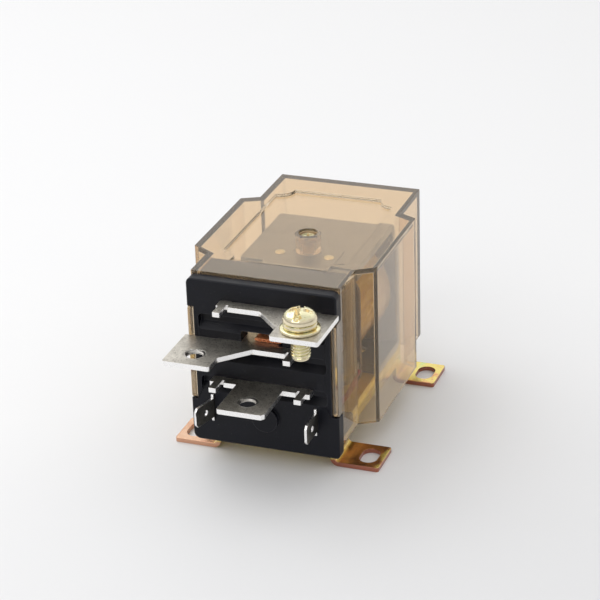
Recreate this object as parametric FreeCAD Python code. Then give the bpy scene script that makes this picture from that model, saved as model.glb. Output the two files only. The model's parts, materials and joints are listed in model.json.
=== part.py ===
"""Enclosed power relay with screw terminals: one solid or group of solids per physical piece.

The relay stands on four slotted feet. X runs to the right as seen from the terminals, Y runs
from the terminals to the back of the dust cover, and Z runs up. The origin is the centre of the
four mounting slots on the underside of the feet. Every size is in millimetres.

Magnet: a C-shaped yoke carries a round core and its coil along Y. A flat armature hangs from the
yoke's upper front edge and swings towards the core when the coil is energised. An insulating
carrier on the armature moves a contact arm between two fixed contacts behind the terminal base.
"""
import FreeCAD, Part
import math
import os

Vector = FreeCAD.Vector

# ---------------------------------------------------------------- driving dimensions
# Mounting bracket
SHEET = 1.5
SLOT_SPAN_X = 56.8
SLOT_SPAN_Y = 57.4
SLOT_WIDTH = 5.6
SLOT_LENGTH = 8.6
FOOT_OUTER_X = 33.2
FOOT_WIDTH = 13.6
FOOT_CORNER = 0.8
RISER_X = 19.3
BRACKET_TOP = 11.0
BRACKET_RAIL = 5.6
BRACKET_FRONT = -38.4
BRACKET_REAR = 36.4

# Dust cover
COVER_BOTTOM = 9.5
COVER_TOP = 61.5
COVER_FRONT = -38.5
COVER_REAR = 39.5
COVER_NARROW_X = 23.5
COVER_WIDE_X = 29.2
COVER_STEPS_Y = (-25.0, -21.5, 16.7, 19.5)
COVER_WALL = 1.6
COVER_ROOF = 2.0
TONGUE_Z = (20.8, 51.4)
TONGUE_FRONT = -42.5

# Terminal base
BASE_FRONT = -42.7
FLANGE_REAR = -38.9
PLUG_REAR = -36.9
SHELF_REAR = -27.0
FLANGE_X = 23.6
FLANGE_Z = (6.7, 60.7)
NOTCH_X = 21.5
PLUG_X = 21.5
GROOVE_X = 20.0
GROOVE_TOPS = (49.6, 39.7, 29.0)
WINDOW_X = 6.6
WINDOW_TOP = 45.2

# Terminals
PLATE = 1.6
TERMINAL_TOPS = {"upper": 54.9, "middle": 42.1, "lower": 29.3}
TERMINAL_SLOTS = (("upper", 8.0, 19.0), ("upper", -12.0, -9.0),
                  ("middle", -14.0, 5.0), ("middle", 9.0, 12.0),
                  ("lower", -3.0, 7.0), ("lower", -15.0, -12.0), ("lower", 12.0, 15.0))
TAB_INNER_X = 9.5
TAB_OUTER_X = 24.4
TAB_FRONT = -61.1
SHOULDER_FRONT = -46.9
TAB_HOLE_X = 16.7
TAB_HOLE_Y = -54.3
LOWER_TAB_X = 7.4
LOWER_TAB_FRONT = -62.3
LOWER_HOLE_Y = -55.5
THREAD_CORE_R = 2.5
SCREW_CREST_R = 2.95
SCREW_BORE_R = 3.0

# Coil tabs, for 6.3 mm push-on connectors
BLADE = 0.8
BLADE_HEIGHT = 6.3
BLADE_X = 16.5
BLADE_Z = 18.7
BLADE_TIP = -52.2
LEFT_BLADE_SPLAY_DEG = 15.0

# Magnet
YOKE_X = 19.0
YOKE_SHEET = 2.5
YOKE_TOP = 53.5
YOKE_FRONT = -10.4
YOKE_REAR = 27.5
COIL_Z = 32.25
CORE_R = 7.0
POLE_R = 10.0
WINDING_R = 17.2
BOBBIN_Y = (-9.2, 24.8)
BOBBIN_FLANGE = 1.6
LUG_X = 18.2
LUG_Z = 21.2

# Armature and moving contact
ARMATURE_BACK = -10.8
ARMATURE_SHEET = 2.5
HINGE_Y = ARMATURE_BACK
HINGE_Z = 53.2
ARMATURE_SWING_DEG = 4.5
ARM_X = 2.0
ARM_WIDTH = 9.0
ARM_FRONT = -27.8
ARM_SHEET = 0.8
CONTACT_R = 3.0
ARM_RIVETS_X = (ARM_X - 2.4, ARM_X + 2.4)
ARM_RIVET_Z = 36.2
CARRIER_RIVET_Z = (30.6, 42.2)
BRAID_RIVET_Z = 43.1
BRAID_RIVET_Y = -35.6
BRAID_WIDTH = 9.4
BRAID_LEFT = -3.2
BRAID_SHEET = 1.2
BRAID_FRONT = -41.5
SPRING_SHEET = 0.3
FLAT_RIVET_HEAD = [(0, 0), (1.7, 0), (1.5, 0.3), (0, 0.35)]
SPRING_RIVET_X = 8.0
SPRING_RIVET_Z = 47.9
YOKE_RIVET_Y = -4.6
CONTACT_Z = 21.7
REST_CONTACT_Z = 23.0

# Small hardware
COVER_SCREW_Y = -0.9
COVER_BOSS_R = 4.0
COVER_BORE_R = 2.9
COVER_SINK = 4.5
COVER_WASHER = 0.6
BASE_SCREW_AT = (14.0, -31.6)
YOKE_SCREW_AT = (10.0, 17.0)


# ---------------------------------------------------------------- geometry helpers
def box(x, y, z):
    """Block between two limits on each axis."""
    corner = Vector(x[0], y[0], z[0])
    return Part.makeBox(x[1] - x[0], y[1] - y[0], z[1] - z[0], corner)


def rod(start, radius, length, axis="z"):
    """Cylinder from a start point along an axis, backwards when the length is negative."""
    direction = {"x": Vector(1, 0, 0), "y": Vector(0, 1, 0), "z": Vector(0, 0, 1)}[axis]
    if length < 0:
        direction = direction * -1
    return Part.makeCylinder(radius, abs(length), Vector(*start), direction)


def join(*shapes):
    """Fuse shapes into one clean solid."""
    whole = shapes[0]
    for shape in shapes[1:]:
        whole = whole.fuse(shape)
    return whole.removeSplitter()


def in_plane(plane, u, v, w):
    """Point with in-plane coordinates u, v and height w above the plane xy, xz or yz."""
    return {"xy": Vector(u, v, w), "xz": Vector(u, w, v), "yz": Vector(w, u, v)}[plane]


def outline_wire(points, plane, level):
    """Closed wire through (u, v) or (u, v, radius) points, with each radius rounded off."""
    corners = [(Vector(p[0], p[1], 0), p[2] if len(p) > 2 else 0.0) for p in points]
    stops = []
    for i, (corner, radius) in enumerate(corners):
        before = (corners[i - 1][0] - corner).normalize()
        after = (corners[(i + 1) % len(corners)][0] - corner).normalize()
        if radius == 0.0:
            stops.append((corner, None, corner))
            continue
        half = before.getAngle(after) / 2.0
        reach = radius / math.tan(half)
        middle = (before + after).normalize() * (radius / math.sin(half) - radius)
        stops.append((corner + before * reach, corner + middle, corner + after * reach))
    edges = []
    for i, (start, middle, end) in enumerate(stops):
        if middle is not None:
            three = [in_plane(plane, p.x, p.y, level) for p in (start, middle, end)]
            edges.append(Part.Arc(*three).toShape())
        following = stops[(i + 1) % len(stops)][0]
        if end.distanceToPoint(following) > 1e-6:
            a = in_plane(plane, end.x, end.y, level)
            b = in_plane(plane, following.x, following.y, level)
            edges.append(Part.LineSegment(a, b).toShape())
    return Part.Wire(edges)


def slab(points, plane, level, thickness):
    """Outline extruded from a level along the plane's normal."""
    face = Part.Face(outline_wire(points, plane, level))
    normal = in_plane(plane, 0, 0, 1)
    return face.extrude(normal * thickness)


def stadium(centre, width, length, along, plane, level, thickness):
    """Slot-shaped slab: semicircular ends, with its long side along u or v."""
    half_u, half_v = (length / 2, width / 2) if along == "u" else (width / 2, length / 2)
    r = width / 2 - 1e-4
    u, v = centre
    points = [(u - half_u, v - half_v, r), (u + half_u, v - half_v, r),
              (u + half_u, v + half_v, r), (u - half_u, v + half_v, r)]
    return slab(points, plane, level, thickness)


def turned(profile, base, axis):
    """Solid of revolution of (radius, height) points about an axis through a base point."""
    points = [Vector(r, 0, h) for r, h in profile]
    points.append(points[0])
    solid = Part.Face(Part.makePolygon(points)).revolve(Vector(), Vector(0, 0, 1), 360)
    solid.Placement = FreeCAD.Placement(Vector(*base), FreeCAD.Rotation(Vector(0, 0, 1), axis))
    return solid


def thread_profile(crest, root, pitch, length):
    """Ridged shank profile from height 0 down to -length, ending in a chamfered tip."""
    points = [(0, 0), (crest, 0)]
    turns = int((length - 1.0) / pitch)
    for turn in range(turns):
        top = -0.4 - turn * pitch
        points += [(crest, top), (root, top - pitch * 0.4)]
        points += [(root, top - pitch * 0.5), (crest, top - pitch * 0.9)]
    points += [(crest, -length + 0.5), (crest - 0.5, -length), (0, -length)]
    return points


def headed_screw(base, axis, thread, head, drive, turn_deg=20):
    """Pan-head screw: the base point is under the head, and axis points out of the head.

    thread is (crest radius, root radius, pitch, length) and head is (radius, height, crown).
    """
    head_r, head_h, crown = head
    rise = head_h - crown
    outline = [(0, 0), (head_r - 0.2, 0), (head_r, 0.2), (head_r, rise)]
    outline += [(head_r - crown * 0.25, rise + crown * 0.5), (head_r - crown * 0.7, rise + crown * 0.8)]
    outline += [(head_r * 0.45, head_h), (0, head_h)]
    cap = turned(outline, base, axis)
    shank = turned(thread_profile(*thread), base, axis)
    depth = head_h * 0.55
    turn = FreeCAD.Rotation(Vector(0, 0, 1), axis)
    cuts = []
    for angle in (0, 90):
        reach = head_r * (1.3 if angle == 0 and drive == "slot" else 0.58)
        slit = box((-reach, reach), (-head_r * 0.13, head_r * 0.13), (head_h - depth, head_h + 1))
        slit.rotate(Vector(), Vector(0, 0, 1), angle + turn_deg)
        slit.Placement = FreeCAD.Placement(Vector(*base), turn).multiply(slit.Placement)
        cuts.append(slit)
    return join(cap, shank).cut(cuts[0].fuse(cuts[1]))


def tube_along(points, radius, bend):
    """Round wire along straight runs joined by tangent arcs."""
    path = [Vector(*p) for p in points]
    edges = []
    start = path[0]
    for i in range(1, len(path) - 1):
        before = (path[i - 1] - path[i]).normalize()
        after = (path[i + 1] - path[i]).normalize()
        half = before.getAngle(after) / 2
        reach = bend / math.tan(half)
        middle = path[i] + (before + after).normalize() * (bend / math.sin(half) - bend)
        edges.append(Part.LineSegment(start, path[i] + before * reach).toShape())
        edges.append(Part.Arc(path[i] + before * reach, middle, path[i] + after * reach).toShape())
        start = path[i] + after * reach
    edges.append(Part.LineSegment(start, path[-1]).toShape())
    spine = Part.Wire(edges)
    ring = Part.Wire(Part.makeCircle(radius, path[0], path[1] - path[0]))
    return spine.makePipeShell([ring], True, True)


def swung(shape, degrees=-ARMATURE_SWING_DEG):
    """The shape turned about the armature's hinge line, from the closed to the rest position."""
    moved = shape.copy()
    moved.rotate(Vector(0, HINGE_Y, HINGE_Z), Vector(1, 0, 0), degrees)
    return moved


def both_sides(shape):
    """The shape and its mirror image across the middle plane."""
    return [shape, shape.mirror(Vector(), Vector(1, 0, 0))]


# ---------------------------------------------------------------- mounting bracket
def mounting_bracket():
    """One bent sheet: a flat plate with its sides bent down, and four feet that step down and out."""
    plate_x = RISER_X - 0.5
    plate = box((-plate_x, plate_x), (BRACKET_FRONT, BRACKET_REAR), (BRACKET_TOP - SHEET, BRACKET_TOP))
    inner_x = RISER_X - SHEET
    section = [(0, BRACKET_TOP - SHEET), (inner_x, BRACKET_TOP - SHEET, 0.8), (inner_x, 0, 2.7),
               (FOOT_OUTER_X, 0), (FOOT_OUTER_X, SHEET), (RISER_X, SHEET, 1.2),
               (RISER_X, BRACKET_TOP, 2.3), (0, BRACKET_TOP)]
    half_length = (SLOT_SPAN_Y + FOOT_WIDTH) / 2
    side = [(0, BRACKET_TOP - SHEET), (inner_x, BRACKET_TOP - SHEET, 0.8), (inner_x, BRACKET_RAIL),
            (RISER_X, BRACKET_RAIL), (RISER_X, BRACKET_TOP, 2.3), (0, BRACKET_TOP)]
    shapes = [plate] + both_sides(slab(side, "xz", -half_length, 2 * half_length))
    for y_sign in (-1, 1):
        middle = y_sign * SLOT_SPAN_Y / 2
        near, far = middle - FOOT_WIDTH / 2, middle + FOOT_WIDTH / 2
        leg = slab(section, "xz", near, FOOT_WIDTH)
        plan = [(0, near), (FOOT_OUTER_X, near, FOOT_CORNER), (FOOT_OUTER_X, far, FOOT_CORNER), (0, far)]
        leg = leg.common(slab(plan, "xy", -1, BRACKET_TOP + 2))
        slot = stadium((SLOT_SPAN_X / 2, middle), SLOT_WIDTH, SLOT_LENGTH, "v", "xy", -1, SHEET + 2)
        leg = leg.cut(slot)
        shapes += both_sides(leg)
    bracket = join(*shapes)
    for x_sign in (-1, 1):
        for (x, y), r in ((BASE_SCREW_AT, 1.65), (YOKE_SCREW_AT, 2.15)):
            bracket = bracket.cut(rod((x * x_sign, y, BRACKET_TOP - SHEET - 1), r, SHEET + 2))
    return bracket


# ---------------------------------------------------------------- dust cover
def cover_plan(offset, front):
    """Half-stepped plan outline of the cover, drawn in by an offset from the outer faces."""
    slant_front = math.atan2(COVER_WIDE_X - COVER_NARROW_X, COVER_STEPS_Y[1] - COVER_STEPS_Y[0])
    slant_rear = math.atan2(COVER_WIDE_X - COVER_NARROW_X, COVER_STEPS_Y[3] - COVER_STEPS_Y[2])
    front_shift = offset * math.tan(slant_front / 2)
    rear_shift = offset * math.tan(slant_rear / 2)
    narrow = COVER_NARROW_X - offset
    wide = COVER_WIDE_X - offset
    y = COVER_STEPS_Y
    right = [(narrow, front), (narrow, y[0] + front_shift), (wide, y[1] + front_shift),
             (wide, y[2] - rear_shift), (narrow, y[3] - rear_shift), (narrow, COVER_REAR - offset)]
    return right + [(-u, v) for u, v in reversed(right)]


def scalloped_panel():
    """Shallow decorative recess in the roof, with a quarter-round bite out of each corner."""
    half_x, half_y, bite = 19.4, 27.2, 4.8
    middle_y = (COVER_FRONT + COVER_REAR) / 2
    depth = 0.9
    front, back = middle_y - half_y, middle_y + half_y
    panel = box((-half_x, half_x), (front, back), (COVER_TOP - depth, COVER_TOP + 1))
    for x in (-half_x, half_x):
        for y in (front, back):
            panel = panel.cut(rod((x, y, COVER_TOP - depth - 1), bite, depth + 3))
    return panel


def dust_cover():
    """Transparent shell, open at the bottom and the front, with a screw boss under its roof."""
    outer = slab(cover_plan(0, COVER_FRONT), "xy", COVER_BOTTOM, COVER_TOP - COVER_BOTTOM)
    cavity_height = COVER_TOP - COVER_ROOF - COVER_BOTTOM + 1
    cavity = slab(cover_plan(COVER_WALL, COVER_FRONT - 5), "xy", COVER_BOTTOM - 1, cavity_height)
    shell = outer.cut(cavity)
    inner_x = COVER_NARROW_X - COVER_WALL
    side = [(COVER_FRONT + 1, TONGUE_Z[0]), (COVER_FRONT + 1, TONGUE_Z[1]),
            (TONGUE_FRONT, TONGUE_Z[1], 1.0), (TONGUE_FRONT, TONGUE_Z[0], 1.0)]
    tongue = slab(side, "yz", inner_x, COVER_WALL)
    boss = rod((0, COVER_SCREW_Y, YOKE_TOP + 0.15), COVER_BOSS_R, COVER_TOP - YOKE_TOP - 1.0)
    cover = join(shell, boss, *both_sides(tongue))
    cover = cover.cut(rod((0, COVER_SCREW_Y, COVER_TOP - COVER_SINK), COVER_BORE_R, COVER_SINK + 1))
    cover = cover.cut(rod((0, COVER_SCREW_Y, YOKE_TOP - 1), 1.8, COVER_TOP - YOKE_TOP + 2))
    return cover.cut(scalloped_panel())


def cover_screw():
    """M3 pan-head screw, sunk in the cover's boss and threaded into the yoke."""
    seat = (0, COVER_SCREW_Y, COVER_TOP - COVER_SINK + COVER_WASHER + 0.05)
    return headed_screw(seat, Vector(0, 0, 1), (1.46, 1.2, 0.5, 6.9), (2.6, 2.1, 0.8), "cross")


def cover_screw_washer():
    """Flat washer under the cover screw's head."""
    base = (0, COVER_SCREW_Y, COVER_TOP - COVER_SINK)
    return rod(base, COVER_BORE_R - 0.15, COVER_WASHER).cut(rod(base, 1.52, COVER_WASHER))


# ---------------------------------------------------------------- terminal base
def groove(top):
    """Horizontal channel across the base's face: flat upper wall, sloping lower wall."""
    depth = 2.2
    profile = [(BASE_FRONT - 1, top), (BASE_FRONT + depth, top), (BASE_FRONT + depth, top - 2.9),
               (BASE_FRONT, top - 5.0), (BASE_FRONT - 1, top - 5.0)]
    run = slab(profile, "yz", -GROOVE_X, 2 * GROOVE_X)
    ends = [(-GROOVE_X, top - 5.2, 1.4), (GROOVE_X, top - 5.2, 1.4),
            (GROOVE_X, top + 0.02, 1.4), (-GROOVE_X, top + 0.02, 1.4)]
    return run.common(slab(ends, "xz", BASE_FRONT - 2, 6))


def terminal_base():
    """Moulded base: front flange, plug inside the cover, two shelves, ribs and channels."""
    low, high = FLANGE_Z
    face = [(-FLANGE_X, low, 2.2), (FLANGE_X, low, 1.2), (FLANGE_X, high, 1.8), (-FLANGE_X, high, 1.8)]
    flange = slab(face, "xz", BASE_FRONT, FLANGE_REAR - BASE_FRONT)
    rim = [e for e in flange.Edges
           if abs(e.BoundBox.YMin - BASE_FRONT) < 1e-6 and e.BoundBox.YLength < 1e-6]
    flange = flange.makeFillet(0.6, rim)
    play = 0.25
    notch = box((NOTCH_X, FLANGE_X + 1), (BASE_FRONT - 1, FLANGE_REAR + 0.5),
                (TONGUE_Z[0] - play, TONGUE_Z[1] + play))
    for cut in both_sides(notch):
        flange = flange.cut(cut)
    plug = box((-PLUG_X, PLUG_X), (FLANGE_REAR - 0.5, PLUG_REAR), (BRACKET_TOP, 59.3))
    upper_shelf = box((-PLUG_X, PLUG_X), (PLUG_REAR - 0.5, SHELF_REAR), (57.2, 59.3))
    lower_shelf = box((-PLUG_X, PLUG_X), (PLUG_REAR - 0.5, SHELF_REAR), (BRACKET_TOP, 14.6))
    boss_disc = rod((0.4, BASE_FRONT + 1, 17.2), 4.1, -2.3, "y")
    shapes = [flange, plug, upper_shelf, lower_shelf, boss_disc]
    for low_z in (27.6, 39.6):
        rib = box((PLUG_X - 1.3, PLUG_X + 0.05), (PLUG_REAR - 0.5, PLUG_REAR + 3.5), (low_z, low_z + 5.0))
        shapes += both_sides(rib)
    base = join(*shapes)
    for top in GROOVE_TOPS:
        base = base.cut(groove(top))
    sill = TERMINAL_TOPS["middle"]
    window = [(-WINDOW_X, sill), (WINDOW_X, sill), (WINDOW_X, WINDOW_TOP, 0.4),
              (-WINDOW_X, WINDOW_TOP, 0.4)]
    base = base.cut(slab(window, "xz", BASE_FRONT - 1, 9))
    gap = 0.02
    through = (BASE_FRONT - 3, PLUG_REAR + 1)
    for name, left, right in TERMINAL_SLOTS:
        top = TERMINAL_TOPS[name]
        base = base.cut(box((left - gap, right + gap), through, (top - PLATE - gap, top + gap)))
    for x in (-BLADE_X, BLADE_X):
        half = BLADE / 2 + gap
        base = base.cut(box((x - half, x + half), through, (BLADE_Z - 4.5 - gap, BLADE_Z + 4.5 + gap)))
    for x_sign in (-1, 1):
        x, y = BASE_SCREW_AT
        base = base.cut(rod((x * x_sign, y, BRACKET_TOP - 1), 2.02, 5))
    return base


def base_inserts():
    """Plain brass inserts in the lower shelf that take the bracket screws."""
    x, y = BASE_SCREW_AT
    insert = rod((x, y, BRACKET_TOP), 2.0, 3.6).cut(rod((x, y, BRACKET_TOP - 1), 1.5, 6))
    return Part.makeCompound(both_sides(insert))


def base_screws():
    """M3 pan-head screws up through the bracket into the base's inserts."""
    x, y = BASE_SCREW_AT
    thread, head = (1.48, 1.2, 0.5, 4.6), (2.8, 2.0, 0.7)
    screws = [headed_screw((x * side, y, BRACKET_TOP - SHEET), Vector(0, 0, -1), thread, head, "cross")
              for side in (-1, 1)]
    return Part.makeCompound(screws)


# ---------------------------------------------------------------- power terminals
def side_plan(inner_left, inner_right):
    """Plan of a side terminal: wide tab on the right, narrow shoulder and finger on the left."""
    at_base = BASE_FRONT - 0.1
    left = [(inner_left, PLUG_REAR), (inner_left, at_base), (-12.6, at_base), (-12.6, -46.5, 0.3)]
    finger = [(-11.9, -46.5), (-11.9, -51.1, 0.25), (-9.6, -51.1, 0.25), (-9.6, -45.6), (-8.9, -45.6)]
    sweep = [(-8.9, SHOULDER_FRONT, 0.3), (1.5, SHOULDER_FRONT, 1.5), (TAB_INNER_X, -55.0, 1.5)]
    tab = [(TAB_INNER_X, TAB_FRONT, 0.8), (TAB_OUTER_X, TAB_FRONT, 0.8), (TAB_OUTER_X, at_base)]
    return left + finger + sweep + tab + [(inner_right, at_base), (inner_right, PLUG_REAR)]


def staking_pin(left, top):
    """Short tail of a terminal shoulder, pressed into its slot in the base."""
    return box((left, left + 3.0), (BASE_FRONT - 0.6, PLUG_REAR), (top - PLATE, top))


def bent_leg(x, y_front, y_back, z_low, z_top):
    """Flat tail that turns down into a vertical leg, as one bent strip."""
    start = y_back - 12
    profile = [(start, z_top), (y_back, z_top, 2.4), (y_back, z_low), (y_front, z_low),
               (y_front, z_top - PLATE, 0.8), (start, z_top - PLATE)]
    return slab(profile, "yz", x[0], x[1] - x[0])


def terminal_upper():
    """Normally-open terminal: its leg runs down behind the moving contact."""
    top = TERMINAL_TOPS["upper"]
    outside = slab(side_plan(8.0, 19.0), "xy", top - PLATE, PLATE)
    y_front, y_back = -24.4, -24.4 + PLATE
    inside = box((9.0, 16.0), (PLUG_REAR - 0.5, y_back - 8), (top - PLATE, top))
    leg = bent_leg((9.0, 16.0), y_front, y_back, 17.6, top)
    foot = slab([(-2.0, 17.6, 1.5), (12.0, 17.6), (12.0, 26.2), (-2.0, 26.2, 1.5)], "xz", y_front, PLATE)
    terminal = join(outside, inside, leg, foot, staking_pin(-12.0, top))
    return terminal.cut(rod((TAB_HOLE_X, TAB_HOLE_Y, top - 3), SCREW_BORE_R, 6))


def terminal_middle():
    """Common terminal: mirror image of the upper tab, with a tail for the flexible braid."""
    top = TERMINAL_TOPS["middle"]
    outside = slab(side_plan(-5.0, 14.0), "xy", top - PLATE, PLATE).mirror(Vector(), Vector(1, 0, 0))
    tail = slab([(-14.0, PLUG_REAR - 0.5), (5.0, PLUG_REAR - 0.5), (5.0, -32.4, 1.0), (-14.0, -32.4, 1.0)],
                "xy", top - PLATE, PLATE)
    terminal = join(outside, tail, staking_pin(9.0, top))
    terminal = terminal.cut(rod((ARM_X, BRAID_RIVET_Y, top - 3), 1.02, 6))
    return terminal.cut(rod((-TAB_HOLE_X, TAB_HOLE_Y, top - 3), THREAD_CORE_R, 6))


def terminal_lower():
    """Normally-closed terminal: central tab between two shoulders, with a short leg inside."""
    top = TERMINAL_TOPS["lower"]
    at_base = BASE_FRONT - 0.1
    front, half = LOWER_TAB_FRONT, LOWER_TAB_X
    right = [(15.9, at_base), (15.9, -46.3, 0.3), (14.6, -46.3), (14.6, -50.4, 0.25), (12.3, -50.4, 0.25),
             (12.3, -44.8), (11.6, -44.8), (11.6, SHOULDER_FRONT + 0.7, 0.3), (half, SHOULDER_FRONT + 0.7)]
    plan = [(7.0, PLUG_REAR), (7.0, at_base)] + right
    plan += [(half, front + 1.1, 0.4), (half - 0.8, front, 0.4), (-half, front, 0.8)]
    plan += [(-u, *rest) for u, *rest in reversed(right)] + [(-3.0, at_base), (-3.0, PLUG_REAR)]
    outside = slab(plan, "xy", top - PLATE, PLATE)
    leg = bent_leg((-3.0, 7.0), -34.6, -34.6 + PLATE, 17.6, top)
    keep = box((-30, 30), (PLUG_REAR - 0.5, 0), (0, 60))
    terminal = join(outside, leg.common(keep), staking_pin(-15.0, top), staking_pin(12.0, top))
    return terminal.cut(rod((0, LOWER_HOLE_Y, top - 3), THREAD_CORE_R, 6))


def terminal_screw():
    """M6 screw of the upper terminal, with slotted cross recess."""
    base = (TAB_HOLE_X, TAB_HOLE_Y, TERMINAL_TOPS["upper"] + 2.77)
    thread, head = (SCREW_CREST_R, 2.45, 1.0, 12.0), (5.1, 3.6, 2.4)
    return headed_screw(base, Vector(0, 0, 1), thread, head, "slot", 92)


def terminal_flat_washer():
    """Captive flat washer on the terminal screw."""
    base = (TAB_HOLE_X, TAB_HOLE_Y, TERMINAL_TOPS["upper"] + 0.02)
    ring = [(3.02, 0), (5.8, 0), (6.0, 0.2), (6.0, 1.0), (5.8, 1.2), (3.02, 1.2)]
    return turned(ring, base, Vector(0, 0, 1))


def terminal_spring_washer():
    """Split spring washer between the screw's head and the flat washer."""
    x = TAB_HOLE_X
    z = TERMINAL_TOPS["upper"] + 1.22
    ring = turned([(3.02, 0), (5.0, 0), (5.0, 1.5), (3.02, 1.5)], (x, TAB_HOLE_Y, z), Vector(0, 0, 1))
    split = box((-0.4, 0.4), (2.0, 7.0), (-1, 3))
    split.rotate(Vector(), Vector(0, 1, 0), 25)
    split.rotate(Vector(), Vector(0, 0, 1), 205)
    split.translate(Vector(x, TAB_HOLE_Y, z))
    return ring.cut(split)


# ---------------------------------------------------------------- coil tabs and leads
def coil_tab():
    """Push-on blade along Y in the plane x = 0, with a shouldered root in the base."""
    half = BLADE_HEIGHT / 2
    lug = 4.5
    at_base = BASE_FRONT - 0.9
    taper_y, taper_z = BLADE_TIP + 0.9, half - 1.0
    plan = [(PLUG_REAR + 2.6, -2.2, 0.6), (PLUG_REAR + 2.6, 2.2, 0.6), (PLUG_REAR, 2.2), (PLUG_REAR, lug),
            (at_base, lug, 0.3), (at_base, half), (taper_y, half), (BLADE_TIP, taper_z, 0.3),
            (BLADE_TIP, -taper_z, 0.3), (taper_y, -half), (at_base, -half), (at_base, -lug, 0.3),
            (PLUG_REAR, -lug), (PLUG_REAR, -2.2)]
    blade = slab(plan, "yz", -BLADE / 2, BLADE)
    blade = blade.cut(rod((-1, BLADE_TIP + 4.8, 0), 0.9, 2, "x"))
    return blade.cut(rod((-1, PLUG_REAR + 1.5, 0), 0.5, 2, "x"))


def coil_tab_right():
    """Straight coil tab."""
    tab = coil_tab()
    tab.translate(Vector(BLADE_X, 0, BLADE_Z))
    return tab


def coil_tab_left():
    """Coil tab with its blade splayed outwards from the base face."""
    tab = coil_tab()
    bend_y = BASE_FRONT - 0.9
    root = tab.common(box((-2, 2), (bend_y, PLUG_REAR + 5), (-9, 9)))
    blade = tab.common(box((-2, 2), (BLADE_TIP - 1, bend_y), (-9, 9)))
    blade.rotate(Vector(0, bend_y, 0), Vector(0, 0, 1), -LEFT_BLADE_SPLAY_DEG)
    corner = rod((0, bend_y, -BLADE_HEIGHT / 2), BLADE / 2, BLADE_HEIGHT)
    tab = join(root, blade, corner)
    tab.translate(Vector(-BLADE_X, 0, BLADE_Z))
    return tab


def coil_leads():
    """Insulated wires from the coil tabs to the solder lugs on the bobbin."""
    route = [(BLADE_X + 1.25, PLUG_REAR + 1.0, BLADE_Z), (BLADE_X + 1.25, PLUG_REAR + 4.6, BLADE_Z),
             (LUG_X + 1.15, -26.0, BLADE_Z + 1.0), (LUG_X + 1.15, -11.2, LUG_Z)]
    return Part.makeCompound(both_sides(tube_along(route, 0.8, 2.2)))


def coil_lugs():
    """Tinned solder lugs in the bobbin's front flange."""
    length = (-14.2, BOBBIN_Y[0] + BOBBIN_FLANGE)
    strip = box((LUG_X - 0.3, LUG_X + 0.3), length, (LUG_Z - 1.6, LUG_Z + 1.6))
    return Part.makeCompound(both_sides(strip))


# ---------------------------------------------------------------- magnet
def yoke():
    """C-shaped steel frame: bottom leg on the bracket, rear leg behind the coil, long top leg."""
    y0, y1 = YOKE_FRONT, YOKE_REAR
    low, high, t = BRACKET_TOP, YOKE_TOP, YOKE_SHEET
    profile = [(y0, high), (y0, high - t), (y1 - t, high - t, 1.0), (y1 - t, low + t, 1.0), (6.0, low + t),
               (6.0, low), (y1, low, 3.5), (y1, high, 3.5)]
    frame = slab(profile, "yz", -YOKE_X, 2 * YOKE_X)
    frame = frame.cut(rod((0, COVER_SCREW_Y, high - t - 1), 1.55, t + 2))
    frame = frame.cut(rod((0, y1 - t - 1, COIL_Z), 2.65, t + 2, "y"))
    for side in (-1, 1):
        frame = frame.cut(rod((SPRING_RIVET_X * side, YOKE_RIVET_Y, high - t - 1), 0.9, t + 2))
        frame = frame.cut(rod((YOKE_SCREW_AT[0] * side, YOKE_SCREW_AT[1], low - 1), 2.0, t + 2))
    return frame


def yoke_screws():
    """M4 pan-head screws up through the bracket into the yoke's bottom leg."""
    x, y = YOKE_SCREW_AT
    thread, head = (1.98, 1.65, 0.7, 3.9), (3.7, 2.4, 0.9)
    screws = [headed_screw((x * side, y, BRACKET_TOP - SHEET), Vector(0, 0, -1), thread, head, "cross")
              for side in (-1, 1)]
    return Part.makeCompound(screws)


def iron_core():
    """Round core with an enlarged pole face at the front and a tapped hole at the back."""
    rear = YOKE_REAR - YOKE_SHEET
    profile = [(0, YOKE_FRONT), (POLE_R - 0.3, YOKE_FRONT), (POLE_R, YOKE_FRONT + 0.3),
               (POLE_R, BOBBIN_Y[0]), (CORE_R, BOBBIN_Y[0]), (CORE_R, rear),
               (2.5, rear), (2.5, 14.0), (0, 12.6)]
    return turned(profile, (0, 0, COIL_Z), Vector(0, 1, 0))


def core_screw():
    """M5 screw that clamps the core to the yoke's rear leg."""
    base = (0, YOKE_REAR + 1.2, COIL_Z)
    return headed_screw(base, Vector(0, 1, 0), (2.48, 2.05, 0.8, 12.0), (4.6, 3.2, 1.2), "slot")


def core_screw_washer():
    """Spring washer under the core screw's head."""
    base = (0, YOKE_REAR, COIL_Z)
    return turned([(2.6, 0), (4.4, 0), (4.4, 1.2), (2.6, 1.2)], base, Vector(0, 1, 0))


def pole_shim():
    """Thin brass disc on the pole face that stops the armature from sticking."""
    return rod((0, YOKE_FRONT, COIL_Z), 8.6, -0.3, "y")


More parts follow.
